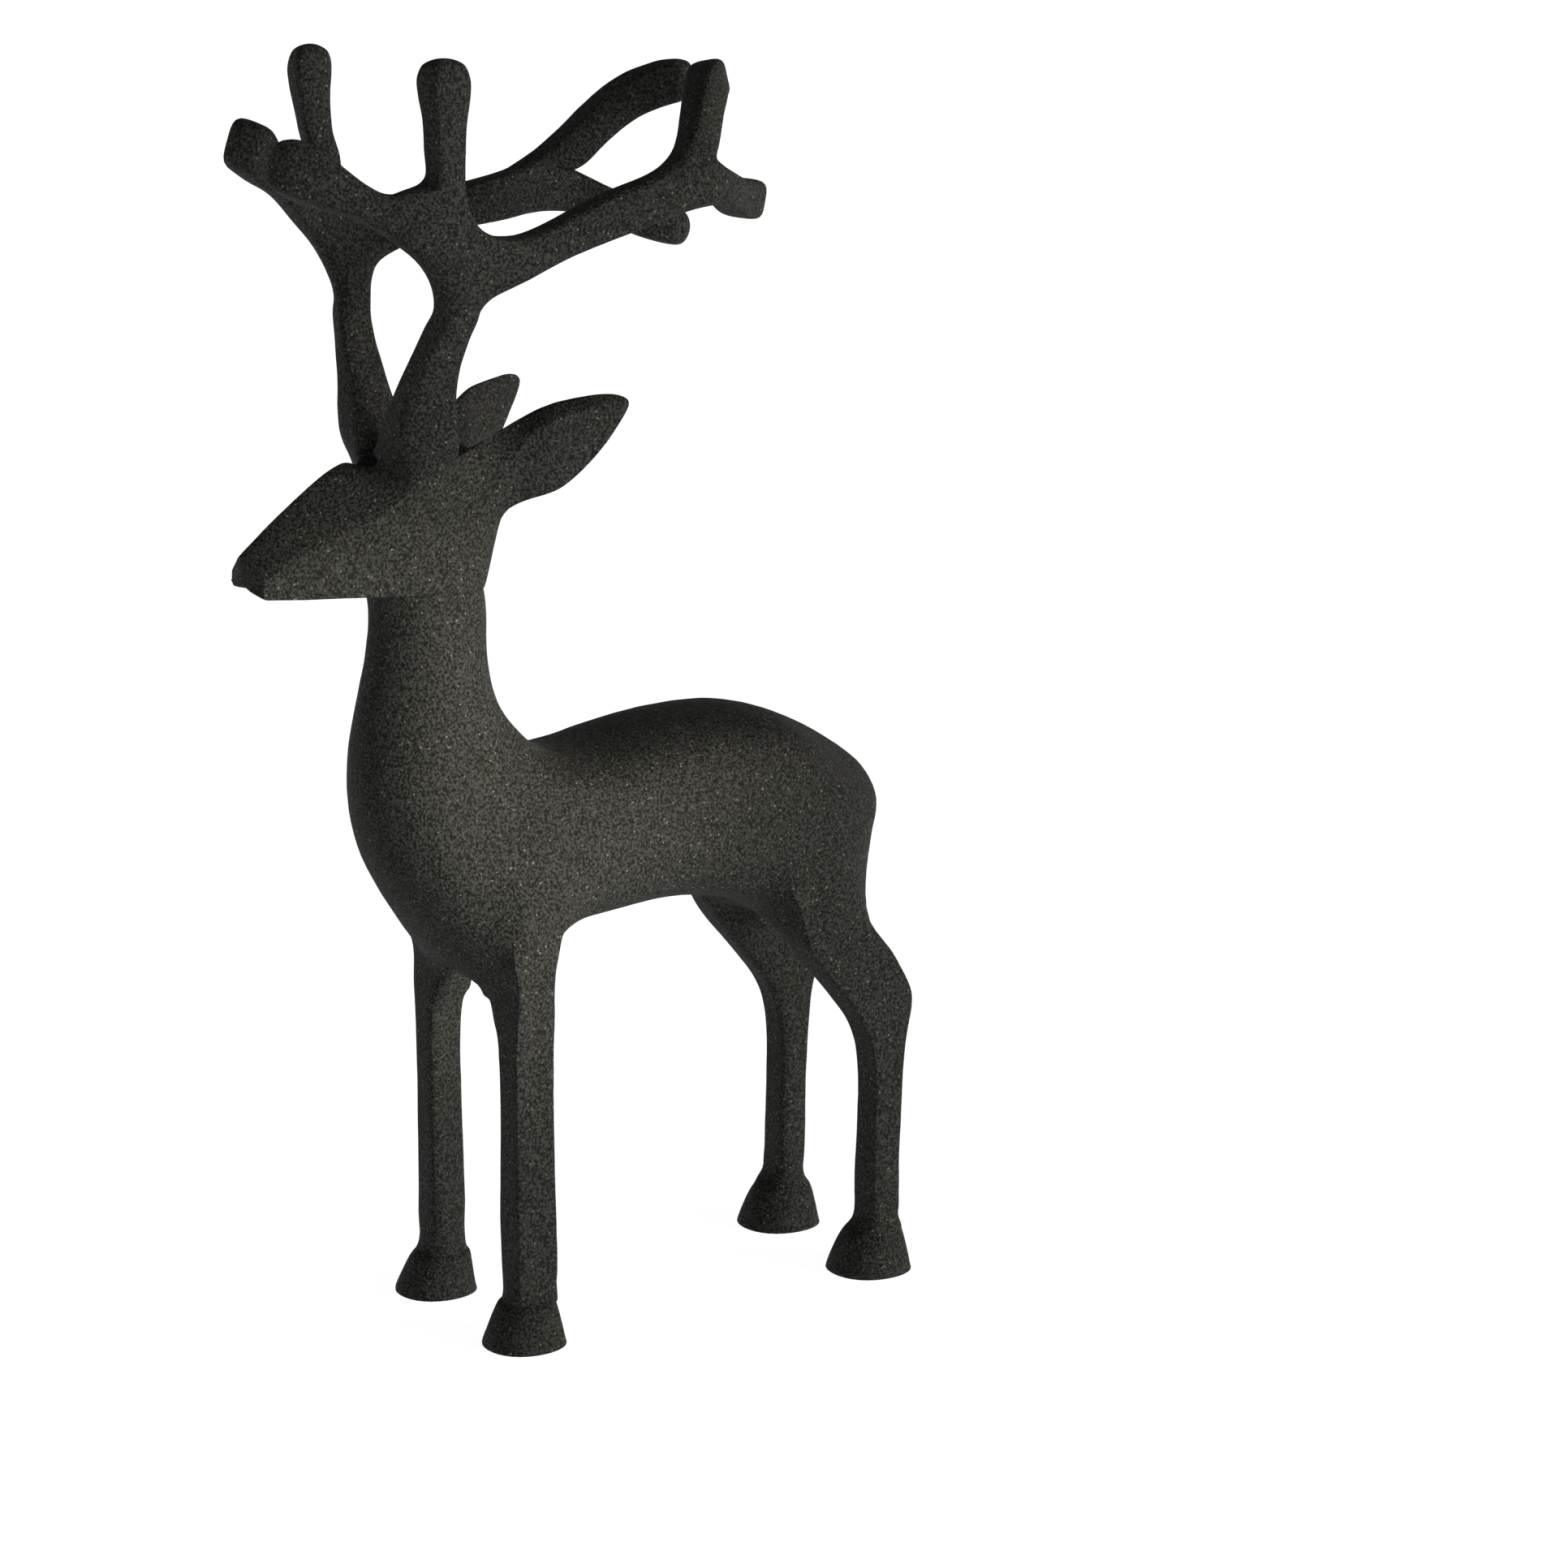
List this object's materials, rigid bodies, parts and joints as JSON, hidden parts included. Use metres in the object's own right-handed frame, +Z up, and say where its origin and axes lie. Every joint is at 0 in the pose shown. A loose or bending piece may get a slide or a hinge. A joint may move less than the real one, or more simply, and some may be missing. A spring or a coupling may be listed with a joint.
{
  "type": "stag statue",
  "caption": "Stylised cast iron stag standing on four bell hooves, with a long neck, a wedge head, leaf ears and tall branched antlers.",
  "frame": {"origin": "centre of the bounding box's base, on the floor between the four hooves", "axes": "+Z up, from the soles to the antler tips; -Y the way the stag faces; +X the stag's left"},
  "size_m": [0.0998, 0.2208, 0.4],
  "materials": {
    "cast_iron": "matt dark sand-cast surface with fine sparkle"
  },
  "bodies": {
    "root": {"stag": "cast_iron"}
  },
  "joints": []
}
